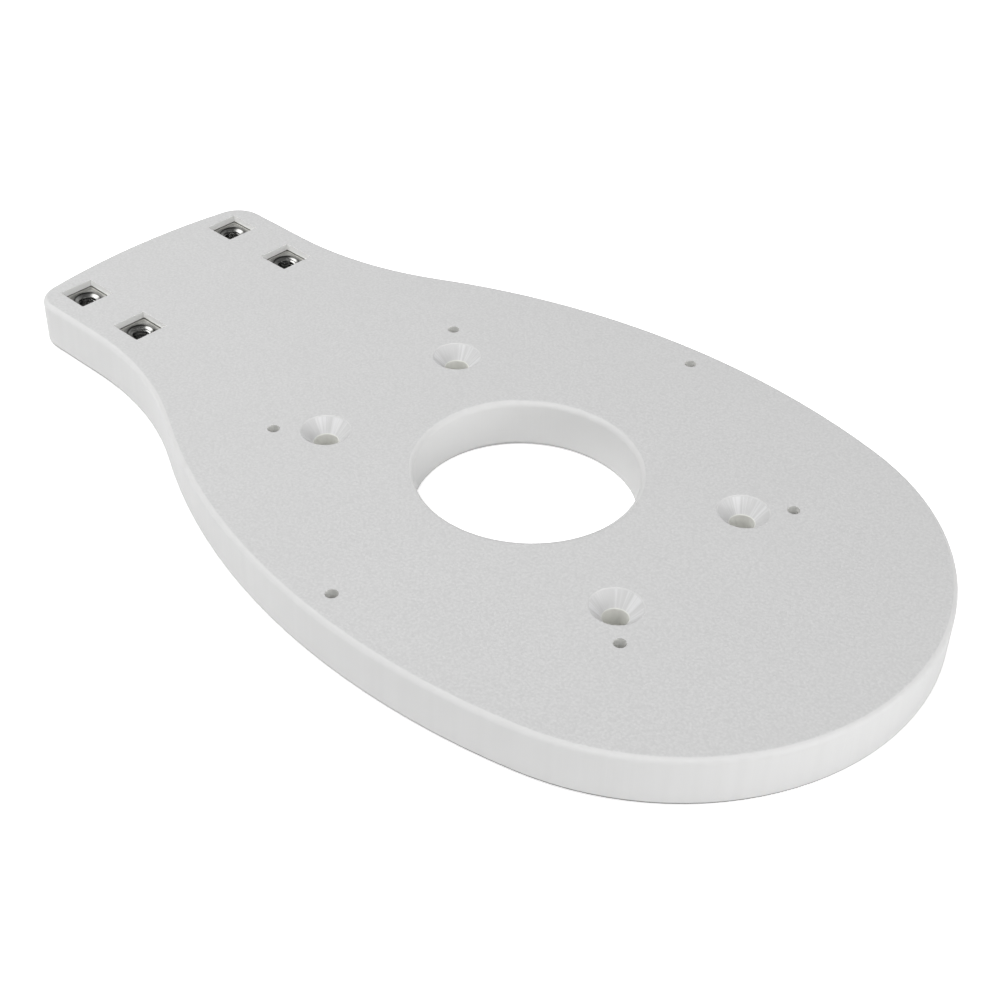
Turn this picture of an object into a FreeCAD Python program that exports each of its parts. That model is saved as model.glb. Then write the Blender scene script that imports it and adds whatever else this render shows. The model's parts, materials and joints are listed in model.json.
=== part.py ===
import FreeCAD, Part
import math
import os

import Sketcher
from FreeCAD import Vector

# Radome mounting plate: one routed plastic board with four captive square nuts in its tail.
#
# Frame: millimetres, +Z up, origin on the cable hole's axis at the plate's underside. +X points
# to the round nose of the head and -X to the tail, and the part is the same on both sides of
# y = 0, where +Y is the left.

# Driving dimensions in millimetres and degrees. Each one can be changed by itself.
DIMENSIONS = {
    # the board
    "plate_thickness": 19.0,
    "edge_round": 2.0,  # router roundover on the outer edges and on the cable hole
    "cable_hole_diameter": 78.0,
    "nose_reach": 153.3,  # from the cable hole's axis to the tip of the nose
    "nose_easing": 5.0,  # how much the nose arc's radius is under the head's half width
    "neck_radius": 128.5,
    "tail_straight": 28.0,  # straight side between the neck and the tail's corner
    "tail_corner_radius": 11.8,
    "tail_end_radius": 269.0,  # the tail's end is a shallow bow
    "head_margin": 10.9,  # board outside the pilot circle, at the head's widest place
    "tail_side_margin": 16.2,  # board between the nuts' axes and the tail's sides
    "tail_end_margin": 17.2,  # board between the outer nuts' axes and the tail's end
    # pilot holes for the radome, evenly spaced on a circle
    "pilot_circle_radius": 91.0,
    "pilot_hole_diameter": 4.4,
    "pilot_count": 6,
    # countersunk screws that hold the plate down on the mast mount
    "screw_spacing_x": 132.5,
    "screw_spacing_y": 66.3,
    "screw_centre_x": 1.0,
    "screw_hole_diameter": 8.6,
    "countersink_diameter": 18.0,
    "countersink_angle": 86.0,
    # square nuts, and the pockets that keep them from turning
    "nut_spacing_x": 33.2,
    "nut_spacing_y": 73.5,
    "nut_centre_x": -181.3,
    "nut_width": 13.9,
    "nut_thickness": 6.75,
    "nut_corner_radius": 0.8,
    "nut_edge_break": 0.25,
    "nut_recess": 2.8,  # how far the nut's top lies below the plate's top
    "nut_side_clearance": 0.15,
    "pocket_corner_radius": 0.5,
    "thread_bore_radius": 3.3,  # the thread's minor radius
    "nut_mouth_radius": 5.2,  # lead-in cone at both ends of the thread
    "nut_mouth_depth": 1.1,
    "bolt_hole_diameter": 8.6,  # below each nut, for a bolt that comes up from underneath
}
SHEET = "Dimensions"
# each nut's place in the two by two pattern, as signs of x and y from the pattern's centre
TAIL_NUTS = {
    "tail_nut_outer_left": (-1, 1),
    "tail_nut_outer_right": (-1, -1),
    "tail_nut_inner_left": (1, 1),
    "tail_nut_inner_right": (1, -1),
}
CORNERS = [(-1, -1), (-1, 1), (1, 1), (1, -1)]
# numbers that a sketch gives to its own origin and axis, and to the points of a curve
ORIGIN_POINT = (-1, 1)
X_AXIS = -1
START, END, CENTRE = 1, 2, 3
TOLERANCE = 1e-6


def value(alias):
    """A driving dimension, read back from the sheet."""
    return float(sheet.get(alias))


def cell(alias):
    """The text that names a driving dimension in an expression."""
    return f"{SHEET}.{alias}"


class Length:
    """A length worked out from driving dimensions: its number now, and its expression."""

    def __init__(self, number, text):
        self.number = number
        self.text = text

    def __add__(self, other):
        return Length(self.number + other.number, f"({self.text} + {other.text})")

    def __sub__(self, other):
        return Length(self.number - other.number, f"({self.text} - {other.text})")

    def __mul__(self, factor):
        return Length(self.number * factor, f"({self.text} * {factor})")


NOTHING = Length(0.0, "0")


def dim(alias):
    """A driving dimension as a Length."""
    return Length(value(alias), cell(alias))


# ---------------------------------------------------------------- sketches


def new_sketch(body, name, plane="XY_Plane", height=None):
    """A sketch on one of the body's own origin planes, raised by a Length if given."""
    sketch = body.newObject("Sketcher::SketchObject", name)
    support = next(f for f in body.Origin.OriginFeatures if f.Role == plane)
    sketch.AttachmentSupport = (support, "")
    sketch.MapMode = "FlatFace"
    if height:
        sketch.setExpression("AttachmentOffset.Base.z", height.text)
    return sketch


def drive(sketch, kind, *geometry, by):
    """A dimension in the sketch that follows a Length."""
    index = sketch.addConstraint(Sketcher.Constraint(kind, *geometry, by.number))
    sketch.setExpression(f"Constraints[{index}]", by.text)


def relate(sketch, kind, *geometry):
    """A relation in the sketch, such as Tangent or Horizontal."""
    sketch.addConstraint(Sketcher.Constraint(kind, *geometry))


def place_point(sketch, point, x, y):
    """Dimension a point of the sketch from its origin."""
    drive(sketch, "DistanceX", *ORIGIN_POINT, *point, by=x)
    drive(sketch, "DistanceY", *ORIGIN_POINT, *point, by=y)


def add_circle(sketch, x, y, diameter):
    """A circle about (x, y)."""
    centre = Vector(x.number, y.number, 0)
    circle = sketch.addGeometry(Part.Circle(centre, Vector(0, 0, 1), diameter.number / 2), False)
    drive(sketch, "Diameter", circle, by=diameter)
    place_point(sketch, (circle, CENTRE), x, y)


def add_polygon(sketch, places):
    """A closed polygon through (x, y) pairs of Lengths. Its points are dimensioned one by one."""
    points = [Vector(x.number, y.number, 0) for x, y in places]
    lines = [
        sketch.addGeometry(Part.LineSegment(start, end), False)
        for start, end in zip(points, points[1:] + points[:1])
    ]
    for line, following, (x, y) in zip(lines, lines[1:] + lines[:1], places):
        relate(sketch, "Coincident", line, END, following, START)
        place_point(sketch, (line, START), x, y)


def add_square(sketch, x, y, side):
    """An upright square about (x, y)."""
    add_polygon(sketch, [(x + side * (a / 2), y + side * (b / 2)) for a, b in CORNERS])


def arc(centre, radius, start, end):
    """A counter-clockwise arc between two angles in radians."""
    return Part.ArcOfCircle(Part.Circle(centre, Vector(0, 0, 1), radius), start, end)


# ---------------------------------------------------------------- the plate


def add_outline(sketch):
    """The board's outline: nose arc, flank arcs, hollow neck arcs, straight sides, bowed end.

    The flank arcs have no radius of their own. They touch the nose arc, the neck arcs and the
    head's full width, and the closed form below finds them, so that the solver starts there.
    """
    half_width = dim("pilot_circle_radius") + dim("head_margin")
    nose_radius = half_width - dim("nose_easing")
    nose_x = dim("nose_reach") - nose_radius
    tail_half = dim("nut_spacing_y") * 0.5 + dim("tail_side_margin")
    tail_reach = dim("nut_spacing_x") * 0.5 + dim("tail_end_margin") - dim("nut_centre_x")
    end_x = dim("tail_end_radius") - tail_reach

    # the tail's corner arc touches the straight side and, from inside, the end's bow
    corner_r, end_r = value("tail_corner_radius"), value("tail_end_radius")
    corner_y = tail_half.number - corner_r
    corner_x = end_x.number - math.sqrt((end_r - corner_r) ** 2 - corner_y**2)
    corner = Vector(corner_x, corner_y, 0)
    end_angle = math.atan2(corner_y, corner_x - end_x.number)
    neck_r = value("neck_radius")
    neck = Vector(corner_x + value("tail_straight"), tail_half.number + neck_r, 0)

    # back is the distance along X from the nose arc's centre to the flank arc's centre, and
    # both arcs' contacts with the flank together make a quadratic in it
    easing = value("nose_easing")
    step = half_width.number - tail_half.number
    run = nose_x.number - neck.x
    widths = nose_radius.number + half_width.number
    a = 1 / easing - 1 / step
    b = 2 * run / step
    c = widths + 2 * neck_r - step - run**2 / step
    back = (math.sqrt(b * b - 4 * a * c) - b) / (2 * a)
    flank_r = (back**2 / easing + widths) / 2
    flank = Vector(nose_x.number - back, half_width.number - flank_r, 0)
    nose_angle = math.atan2(-flank.y, back)
    neck_angle = math.atan2(neck.y - flank.y, neck.x - flank.x)

    def mirrored(point):
        return Vector(point.x, -point.y, 0)

    side = (Vector(neck.x, tail_half.number, 0), Vector(corner_x, tail_half.number, 0))
    curves = {
        "nose": arc(Vector(nose_x.number, 0, 0), nose_radius.number, -nose_angle, nose_angle),
        "left_flank": arc(flank, flank_r, nose_angle, neck_angle),
        "left_neck": arc(neck, neck_r, -math.pi / 2, neck_angle - math.pi),
        "left_side": Part.LineSegment(side[0], side[1]),
        "left_corner": arc(corner, corner_r, math.pi / 2, end_angle),
        "end": arc(Vector(end_x.number, 0, 0), end_r, end_angle, -end_angle),
        "right_corner": arc(mirrored(corner), corner_r, -end_angle, -math.pi / 2),
        "right_side": Part.LineSegment(mirrored(side[1]), mirrored(side[0])),
        "right_neck": arc(mirrored(neck), neck_r, math.pi - neck_angle, math.pi / 2),
        "right_flank": arc(mirrored(flank), flank_r, -neck_angle, -nose_angle),
    }
    geo = {name: sketch.addGeometry(curve, False) for name, curve in curves.items()}

    # the two necks run against the outline's direction, so their ends are the other way round
    names = list(curves)
    for name, following in zip(names, names[1:] + names[:1]):
        leave = START if name.endswith("neck") else END
        enter = END if following.endswith("neck") else START
        relate(sketch, "Tangent", geo[name], leave, geo[following], enter)
    for part in ("flank", "neck", "side", "corner"):
        relate(sketch, "Equal", geo[f"left_{part}"], geo[f"right_{part}"])
    for part, sign in (("left_side", 1), ("right_side", -1)):
        relate(sketch, "Horizontal", geo[part])
        drive(sketch, "DistanceY", *ORIGIN_POINT, geo[part], START, by=tail_half * sign)
    for part, x in (("nose", nose_x), ("end", end_x)):
        relate(sketch, "PointOnObject", geo[part], CENTRE, X_AXIS)
        drive(sketch, "DistanceX", *ORIGIN_POINT, geo[part], CENTRE, by=x)
    drive(sketch, "Radius", geo["nose"], by=nose_radius)
    drive(sketch, "Radius", geo["end"], by=dim("tail_end_radius"))
    drive(sketch, "Radius", geo["left_neck"], by=dim("neck_radius"))
    drive(sketch, "Radius", geo["left_corner"], by=dim("tail_corner_radius"))
    left = geo["left_side"]
    drive(sketch, "DistanceX", left, END, left, START, by=dim("tail_straight"))

    # a point on the flank, straight out from the flank's own centre, marks the full width
    widest = sketch.addGeometry(Part.Point(Vector(flank.x, half_width.number, 0)), True)
    relate(sketch, "PointOnObject", widest, START, geo["left_flank"])
    relate(sketch, "Vertical", widest, START, geo["left_flank"], CENTRE)
    drive(sketch, "DistanceY", *ORIGIN_POINT, widest, START, by=half_width)


def cut_through(body, name, sketch):
    """A pocket from the underside right through the board."""
    cut = body.newObject("PartDesign::Pocket", name)
    cut.Profile = sketch
    cut.Type = "ThroughAll"
    cut.Reversed = True
    return cut


def edges_where(feature, test):
    """Names of the feature's edges whose box passes a test."""
    edges = enumerate(feature.Shape.Edges, start=1)
    return [f"Edge{number}" for number, edge in edges if test(edge.BoundBox)]


def nut_places():
    """The four (x, y) places of the nuts."""
    half_x, half_y = dim("nut_spacing_x") * 0.5, dim("nut_spacing_y") * 0.5
    middle = dim("nut_centre_x")
    return {
        name: (middle + half_x * sign_x, half_y * sign_y)
        for name, (sign_x, sign_y) in TAIL_NUTS.items()
    }


def make_plate(doc):
    """The board, cut from sheet in the order that a router and a drill would cut it."""
    body = doc.addObject("PartDesign::Body", "mounting_plate")
    thickness = dim("plate_thickness")

    outline = new_sketch(body, "outline")
    add_outline(outline)
    board = body.newObject("PartDesign::Pad", "board")
    board.Profile = outline
    board.setExpression("Length", thickness.text)

    hole = new_sketch(body, "cable_hole_circle")
    add_circle(hole, NOTHING, NOTHING, dim("cable_hole_diameter"))
    cable_hole = cut_through(body, "cable_hole", hole)
    doc.recompute()

    # every edge that lies flat in the top or the underside is still an outer or cable hole edge
    rounds = body.newObject("PartDesign::Fillet", "routed_edges")
    rounds.Base = (cable_hole, edges_where(cable_hole, lambda box: box.ZLength < TOLERANCE))
    rounds.setExpression("Radius", cell("edge_round"))
    doc.recompute()

    screws = new_sketch(body, "screw_places", height=thickness)
    for sign_x, sign_y in CORNERS:
        x = dim("screw_centre_x") + dim("screw_spacing_x") * (sign_x / 2)
        add_circle(screws, x, dim("screw_spacing_y") * (sign_y / 2), dim("screw_hole_diameter"))
    doc.recompute()
    screw_holes = body.newObject("PartDesign::Hole", "screw_holes")
    screw_holes.Profile = screws
    screw_holes.DepthType = "ThroughAll"
    screw_holes.Threaded = False
    screw_holes.HoleCutType = "Countersink"
    screw_holes.HoleCutCustomValues = True
    screw_holes.setExpression("Diameter", cell("screw_hole_diameter"))
    screw_holes.setExpression("HoleCutDiameter", cell("countersink_diameter"))
    screw_holes.setExpression("HoleCutCountersinkAngle", cell("countersink_angle"))
    doc.recompute()

    pilot_place = new_sketch(body, "pilot_place")
    add_circle(pilot_place, NOTHING, dim("pilot_circle_radius"), dim("pilot_hole_diameter"))
    pilot_hole = cut_through(body, "pilot_hole", pilot_place)
    doc.recompute()
    ring = body.newObject("PartDesign::PolarPattern", "pilot_ring")
    ring.Originals = [pilot_hole]
    ring.Axis = (next(f for f in body.Origin.OriginFeatures if f.Role == "Z_Axis"), [""])
    ring.setExpression("Occurrences", cell("pilot_count"))
    body.Tip = ring
    doc.recompute()

    pockets = new_sketch(body, "nut_pocket_squares", height=thickness)
    side = dim("nut_width") + dim("nut_side_clearance") * 2
    for x, y in nut_places().values():
        add_square(pockets, x, y, side)
    nut_pockets = body.newObject("PartDesign::Pocket", "nut_pockets")
    nut_pockets.Profile = pockets
    depth = dim("nut_recess") + dim("nut_thickness")
    nut_pockets.setExpression("Length", depth.text)
    body.Tip = nut_pockets
    doc.recompute()

    # upright edges as tall as the pockets are the pockets' own corners
    corners = body.newObject("PartDesign::Fillet", "pocket_corners")

    def is_pocket_corner(box):
        upright = box.XLength < TOLERANCE and box.YLength < TOLERANCE
        return upright and abs(box.ZLength - depth.number) < TOLERANCE

    corners.Base = (nut_pockets, edges_where(nut_pockets, is_pocket_corner))
    corners.setExpression("Radius", cell("pocket_corner_radius"))
    body.Tip = corners

    bolt_places = new_sketch(body, "bolt_hole_circles")
    for x, y in nut_places().values():
        add_circle(bolt_places, x, y, dim("bolt_hole_diameter"))
    body.Tip = cut_through(body, "bolt_holes", bolt_places)
    return body


# ---------------------------------------------------------------- the nuts


def make_nut(doc, name, x, y):
    """A square nut in its pocket: flat sides, and a lead-in cone at each end of the thread.

    The thread is a plain bore at its minor radius.
    """
    body = doc.addObject("PartDesign::Body", name)
    thickness = dim("nut_thickness")
    floor = dim("plate_thickness") - dim("nut_recess") - thickness
    body.setExpression("Placement.Base.x", x.text)
    body.setExpression("Placement.Base.y", y.text)
    body.setExpression("Placement.Base.z", floor.text)

    square = new_sketch(body, f"{name}_square")
    add_square(square, NOTHING, NOTHING, dim("nut_width"))
    blank = body.newObject("PartDesign::Pad", f"{name}_blank")
    blank.Profile = square
    blank.setExpression("Length", thickness.text)
    doc.recompute()

    corners = body.newObject("PartDesign::Fillet", f"{name}_corners")
    corners.Base = (blank, edges_where(blank, lambda box: box.ZLength > TOLERANCE))
    corners.setExpression("Radius", cell("nut_corner_radius"))
    doc.recompute()

    broken = body.newObject("PartDesign::Chamfer", f"{name}_broken_edges")
    broken.Base = (corners, edges_where(corners, lambda box: box.ZLength < TOLERANCE))
    broken.setExpression("Size", cell("nut_edge_break"))
    doc.recompute()

    # half of the bore's section, turned about the nut's axis
    mouth_r, bore_r = dim("nut_mouth_radius"), dim("thread_bore_radius")
    mouth = dim("nut_mouth_depth")
    section = new_sketch(body, f"{name}_bore_section", plane="XZ_Plane")
    places = [
        (NOTHING, NOTHING),
        (mouth_r, NOTHING),
        (bore_r, mouth),
        (bore_r, thickness - mouth),
        (mouth_r, thickness),
        (NOTHING, thickness),
    ]
    add_polygon(section, places)
    bore = body.newObject("PartDesign::Groove", f"{name}_bore")
    bore.Profile = section
    bore.ReferenceAxis = (section, ["V_Axis"])
    bore.Angle = 360
    body.Tip = bore
    return body


# ---------------------------------------------------------------- document, checks and files


def check_document(doc, bodies):
    """Stop if any object failed, or if a piece isn't exactly one valid solid."""
    for item in doc.Objects:
        if {"Invalid", "Error"} & set(item.State):
            raise RuntimeError(f"{item.Name} failed: {item.State}")
        if item.TypeId == "Sketcher::SketchObject" and not item.FullyConstrained:
            raise RuntimeError(f"{item.Name} isn't fully constrained")
    for body in bodies:
        shape = body.Shape
        if shape.isNull() or not shape.isValid() or len(shape.Solids) != 1:
            raise RuntimeError(f"{body.Label} isn't one valid solid")


os.makedirs("parts", exist_ok=True)
document = FreeCAD.newDocument("RadomePlate")
sheet = document.addObject("Spreadsheet::Sheet", SHEET)
for row, (alias, number) in enumerate(DIMENSIONS.items(), start=1):
    sheet.set(f"A{row}", alias)
    sheet.set(f"B{row}", str(number))
    sheet.setAlias(f"B{row}", alias)
document.recompute()

pieces = [make_plate(document)]
for nut_name, (nut_x, nut_y) in nut_places().items():
    pieces.append(make_nut(document, nut_name, nut_x, nut_y))
document.recompute()
check_document(document, pieces)

for piece in pieces:
    piece.Shape.exportStep(f"parts/{piece.Label}.step")
    box = piece.Shape.optimalBoundingBox()
    print(
        f"{piece.Label}: {box.XLength:.2f} x {box.YLength:.2f} x {box.ZLength:.2f} mm, "
        f"{len(piece.Shape.Faces)} faces, {piece.Shape.Volume / 1000:.2f} cm3"
    )
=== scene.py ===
# %% [markdown]
# # A mounting plate for a boat's radar dome
#
# The object is one thick board of light grey marine plastic, cut to the shape
# of a spoon without its handle, with four square stainless nuts dropped into
# pockets at its narrow end. The radome sits on the wide end, its cable goes
# down through the big hole, and the nuts take the bolts of whatever is fixed
# to the tail.
#
# The board's shape is exact already, because it comes from the engineering
# model as a fixed frame. This lesson adds what that model leaves out: the
# pebbled skin and the routed edges of the plastic, and nuts with a real
# screw thread.

# %% Load the fixed frame and measure it
import json
import math

import bpy
from mathutils import Matrix, Vector


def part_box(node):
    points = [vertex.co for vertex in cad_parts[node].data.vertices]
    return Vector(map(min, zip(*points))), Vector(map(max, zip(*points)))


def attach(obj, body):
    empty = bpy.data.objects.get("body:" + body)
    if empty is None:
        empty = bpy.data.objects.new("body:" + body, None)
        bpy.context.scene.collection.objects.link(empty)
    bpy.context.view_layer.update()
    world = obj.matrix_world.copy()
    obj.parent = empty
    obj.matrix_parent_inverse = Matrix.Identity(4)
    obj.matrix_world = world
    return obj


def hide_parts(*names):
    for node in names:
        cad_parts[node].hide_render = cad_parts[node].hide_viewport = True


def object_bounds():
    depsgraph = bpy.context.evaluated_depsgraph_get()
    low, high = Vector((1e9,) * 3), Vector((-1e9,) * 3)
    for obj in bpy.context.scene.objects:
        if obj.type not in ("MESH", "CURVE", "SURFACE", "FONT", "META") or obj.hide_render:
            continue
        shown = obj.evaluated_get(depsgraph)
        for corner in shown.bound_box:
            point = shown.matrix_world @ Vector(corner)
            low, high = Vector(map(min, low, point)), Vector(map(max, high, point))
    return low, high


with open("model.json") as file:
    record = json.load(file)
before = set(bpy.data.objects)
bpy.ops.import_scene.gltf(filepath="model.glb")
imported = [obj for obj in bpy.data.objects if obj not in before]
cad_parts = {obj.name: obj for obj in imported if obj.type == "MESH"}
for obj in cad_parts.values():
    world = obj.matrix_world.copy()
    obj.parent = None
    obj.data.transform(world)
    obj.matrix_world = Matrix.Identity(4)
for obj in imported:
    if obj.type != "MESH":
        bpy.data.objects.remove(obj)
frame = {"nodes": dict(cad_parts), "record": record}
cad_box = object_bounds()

MM = 0.001

lowest, highest = cad_box
plate_size = highest - lowest
print("plate, mm:", [round(side / MM, 1) for side in plate_size])

# %% [markdown]
# ## The camera
#
# A flat plate shows best from well above one corner, where its face, one long
# side and the wall of the hole are all in view. The camera could be placed by
# hand with three coordinates and three angles, but it is easier to think of it
# as a tripod that walks round the plate: which way it stands, how high it looks
# down from, how far off it is, and a small tilt of its head. The point it looks
# at lies on the top face, beside the hole.

# %% Place the camera
CAMERA_AZIMUTH = math.radians(41.556)
CAMERA_ELEVATION = math.radians(38.113)
CAMERA_TILT = math.radians(1.9)
CAMERA_DISTANCE = 578.8 * MM
LENS, SENSOR_WIDTH = 62.39, 36.0  # in millimetres, as Blender counts them
NEAR_LIMIT = 10 * MM
LOOK_AT = Vector((5.28 * MM, -19.48 * MM, highest.z))


def direction(azimuth, elevation):
    """The way from the plate to something that stands round it."""
    return Vector((
        math.sin(azimuth) * math.cos(elevation),
        -math.cos(azimuth) * math.cos(elevation),
        math.sin(elevation),
    ))


towards_camera = direction(CAMERA_AZIMUTH, CAMERA_ELEVATION)
camera_data = bpy.data.cameras.new("product_camera")
camera_data.lens = LENS
camera_data.sensor_width = SENSOR_WIDTH
camera_data.clip_start = NEAR_LIMIT
camera = bpy.data.objects.new("product_camera", camera_data)
bpy.context.scene.collection.objects.link(camera)
upright = towards_camera.to_track_quat("Z", "Y").to_matrix().to_4x4()
camera.matrix_world = (
    Matrix.Translation(LOOK_AT + towards_camera * CAMERA_DISTANCE)
    @ upright
    @ Matrix.Rotation(CAMERA_TILT, 4, "Z")
)
bpy.context.scene.camera = camera
print("camera, mm:", [round(place / MM, 1) for place in camera.matrix_world.translation])

# %% [markdown]
# ## The table
#
# Small things are shown on a broad white table. In a real studio the sheet
# curves up behind them and hides the horizon, but that works from one side
# only, and this plate is looked at from all round. So the table is one flat
# square, a hair below the plate.

# %% Lay the floor
FLOOR_SIDE = 4.0
FLOOR_GAP = 0.05 * MM
FLOOR_BOUNCE = 0.93
FLOOR_ROUGHNESS = 0.9
FLOOR_SPECULAR = 0.1
WHITE = (1.0, 1.0, 1.0, 1.0)


def plain_material(name, colour, roughness):
    """A material with one Principled shader, as a start."""
    material = bpy.data.materials.new(name)
    material.use_nodes = True
    shader = material.node_tree.nodes["Principled BSDF"]
    shader.inputs["Base Color"].default_value = (*colour, 1.0)
    shader.inputs["Roughness"].default_value = roughness
    return material, shader


floor_mesh = bpy.data.meshes.new("studio_floor")
half = FLOOR_SIDE / 2
floor_corners = ((-half, -half), (half, -half), (half, half), (-half, half))
floor_mesh.from_pydata([(*xy, lowest.z - FLOOR_GAP) for xy in floor_corners], [], [(0, 1, 2, 3)])
floor = bpy.data.objects.new("studio_floor", floor_mesh)
bpy.context.scene.collection.objects.link(floor)
table_look = ("white_table", (FLOOR_BOUNCE,) * 3, FLOOR_ROUGHNESS)
floor_material, floor_shader = plain_material(*table_look)
floor_shader.inputs["Specular IOR Level"].default_value = FLOOR_SPECULAR
floor_mesh.materials.append(floor_material)
print("table:", FLOOR_SIDE, "m square")

# %% [markdown]
# A white table under soft lamps still comes out pale grey, and greyer far off
# where the lamps are weak. More light would burn out the plate too. So the
# table glows a little, and more so in the distance. Light Path tells the
# shader which rays come from the camera. Only those see the glow, so it puts
# no light on the plate and leaves the soft shadow under it.

# %% Let the table glow for the camera
FLOOR_GLOW = 0.5
SWEEP_GLOW = 1.2
SWEEP_START, SWEEP_END = 0.5, 1.4

floor_shader.inputs["Emission Color"].default_value = WHITE
table_nodes, table_links = floor_material.node_tree.nodes, floor_material.node_tree.links
table_place = table_nodes.new("ShaderNodeTexCoord")
far_off = table_nodes.new("ShaderNodeVectorMath")
far_off.operation = "LENGTH"
sweep = table_nodes.new("ShaderNodeMapRange")
for name, value in (
    ("From Min", SWEEP_START),
    ("From Max", SWEEP_END),
    ("To Min", FLOOR_GLOW),
    ("To Max", SWEEP_GLOW),
):
    sweep.inputs[name].default_value = value
light_path = table_nodes.new("ShaderNodeLightPath")
glow = table_nodes.new("ShaderNodeMath")
glow.operation = "MULTIPLY"
table_links.new(table_place.outputs["Object"], far_off.inputs[0])
table_links.new(far_off.outputs["Value"], sweep.inputs["Value"])
table_links.new(sweep.outputs["Result"], glow.inputs[0])
table_links.new(light_path.outputs["Is Camera Ray"], glow.inputs[1])
table_links.new(glow.outputs[0], floor_shader.inputs["Emission Strength"])
print("table glow:", FLOOR_GLOW, "near the plate,", SWEEP_GLOW, "far off")

# %% [markdown]
# ## The lamps
#
# Large lamps give shadows without an edge. Each one is an area light that
# faces the plate from its own direction. Satin steel is only as bright as what
# it mirrors, so a studio puts white cards round it. Two lamps stand in for such
# cards, and light linking keeps their light on the steel: a lamp with a
# receiver collection shines on what is in it and on nothing else. Two others
# stand close by, where their reflections would show as hard patches, so they
# are left out of reflections.

# %% Hang the lamps
LAMPS = {
    "right_low_softbox": {"azimuth": 90, "elevation": 10, "away": 3.0, "size": 0.9, "power": 15.4},
    "right_low_strip": {"azimuth": 120, "elevation": 10, "away": 3.0, "size": 0.9, "power": 18.2},
    "front_softbox": {"azimuth": 30, "elevation": 42, "away": 3.0, "size": 1.8, "power": 23.2},
    "right_softbox": {"azimuth": 90, "elevation": 42, "away": 3.0, "size": 1.8, "power": 24.3},
    "left_low_box": {"azimuth": 300, "elevation": 35, "away": 1.5, "size": 0.95, "power": 4.5},
    "left_high_box": {"azimuth": 300, "elevation": 60, "away": 1.5, "size": 0.95, "power": 11.6},
}
# these shine on the metal parts only
REFLECTORS = {
    "back_card": {"azimuth": 221, "elevation": 42, "away": 3.0, "size": 2.0, "power": 24.0},
    "left_card": {"azimuth": 285, "elevation": 46, "away": 3.0, "size": 2.0, "power": 84.0},
}
OUT_OF_REFLECTIONS = {"left_low_box", "left_high_box"}
metal_parts = bpy.data.collections.new("metal_parts")

for name, lamp in {**LAMPS, **REFLECTORS}.items():
    light = bpy.data.lights.new(name, "AREA")
    light.shape = "SQUARE"
    light.size = lamp["size"]
    light.energy = lamp["power"]
    holder = bpy.data.objects.new(name, light)
    way = direction(math.radians(lamp["azimuth"]), math.radians(lamp["elevation"]))
    holder.matrix_world = (
        Matrix.Translation(way * lamp["away"]) @ way.to_track_quat("Z", "Y").to_matrix().to_4x4()
    )
    holder.visible_camera = False
    if name in REFLECTORS:
        holder.light_linking.receiver_collection = metal_parts
    holder.visible_glossy = name not in OUT_OF_REFLECTIONS
    bpy.context.scene.collection.objects.link(holder)
print("lamps:", len(LAMPS), "and cards for the steel:", len(REFLECTORS))

# %% [markdown]
# The walls of a studio send back some light from every side. The world does
# that with one even colour. The camera sees the world as white, so that no
# edge shows where the table ends. The Standard view shows colours as they are,
# so that a white table stays white.

# %% Fill in with the world
WORLD_STRENGTH = 0.255

world = bpy.data.worlds.new("studio")
world.use_nodes = True
background = world.node_tree.nodes["Background"]
background.inputs["Color"].default_value = WHITE
seen_white = world.node_tree.nodes.new("ShaderNodeMapRange")
seen_white.inputs["To Min"].default_value = WORLD_STRENGTH
seen_white.inputs["To Max"].default_value = 1.0
light_path = world.node_tree.nodes.new("ShaderNodeLightPath")
world.node_tree.links.new(light_path.outputs["Is Camera Ray"], seen_white.inputs["Value"])
world.node_tree.links.new(seen_white.outputs["Result"], background.inputs["Strength"])
bpy.context.scene.world = world
bpy.context.scene.view_settings.view_transform = "Standard"
print("world light:", WORLD_STRENGTH)

# %% [markdown]
# ## A short way to write node formulas
#
# Materials and Geometry Nodes both work on fields: numbers that change from
# point to point. Each sum of a formula is one Math node, and wiring dozens of
# them by hand hides the formula. The Field class below is a thin wrapper on a
# node's output. Writing a * 2 + b with fields adds the Math nodes that
# work it out, so that the code reads like the formula it stands for.

# %% Fields


class Field:
    """A node's output that can be used in a formula."""

    def __init__(self, socket):
        self.socket = socket

    def __add__(self, other):
        return calculate("ADD", self, other)

    def __radd__(self, other):
        return calculate("ADD", other, self)

    def __sub__(self, other):
        return calculate("SUBTRACT", self, other)

    def __rsub__(self, other):
        return calculate("SUBTRACT", other, self)

    def __mul__(self, other):
        return calculate("MULTIPLY", self, other)

    def __truediv__(self, other):
        return calculate("DIVIDE", self, other)

    def __rtruediv__(self, other):
        return calculate("DIVIDE", other, self)

    def __abs__(self):
        return calculate("ABSOLUTE", self)

    def limited(self, low, high):
        """The field, held between two values."""
        return calculate("MINIMUM", calculate("MAXIMUM", self, low), high)


print("fields ready")

# %% [markdown]
# Making a node by hand takes a line for the node, one for each setting and one
# for each input. These helpers say all of that in one call, and take fields and
# plain numbers alike.

# %% Helpers that make nodes


def feed(socket, value):
    """Joins a field to a node's input, or sets the input to a plain value."""
    if isinstance(value, Field):
        socket.id_data.links.new(value.socket, socket)
    else:
        socket.default_value = value


def calculate(operation, *values):
    """One Math node."""
    tree = next(value.socket.id_data for value in values if isinstance(value, Field))
    node = tree.nodes.new("ShaderNodeMath")
    node.operation = operation
    for socket, value in zip(node.inputs, values):
        feed(socket, value)
    return Field(node.outputs[0])


def add_node(tree, kind, inputs=(), **settings):
    """Any node, with its settings and its named inputs filled in."""
    node = tree.nodes.new(kind)
    for name, value in settings.items():
        setattr(node, name, value)
    for name, value in dict(inputs).items():
        feed(node.inputs[name], value)
    return node


def output(node, name):
    """A node's named output, as a field."""
    return Field(node.outputs[name])


print("helpers ready")

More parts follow.
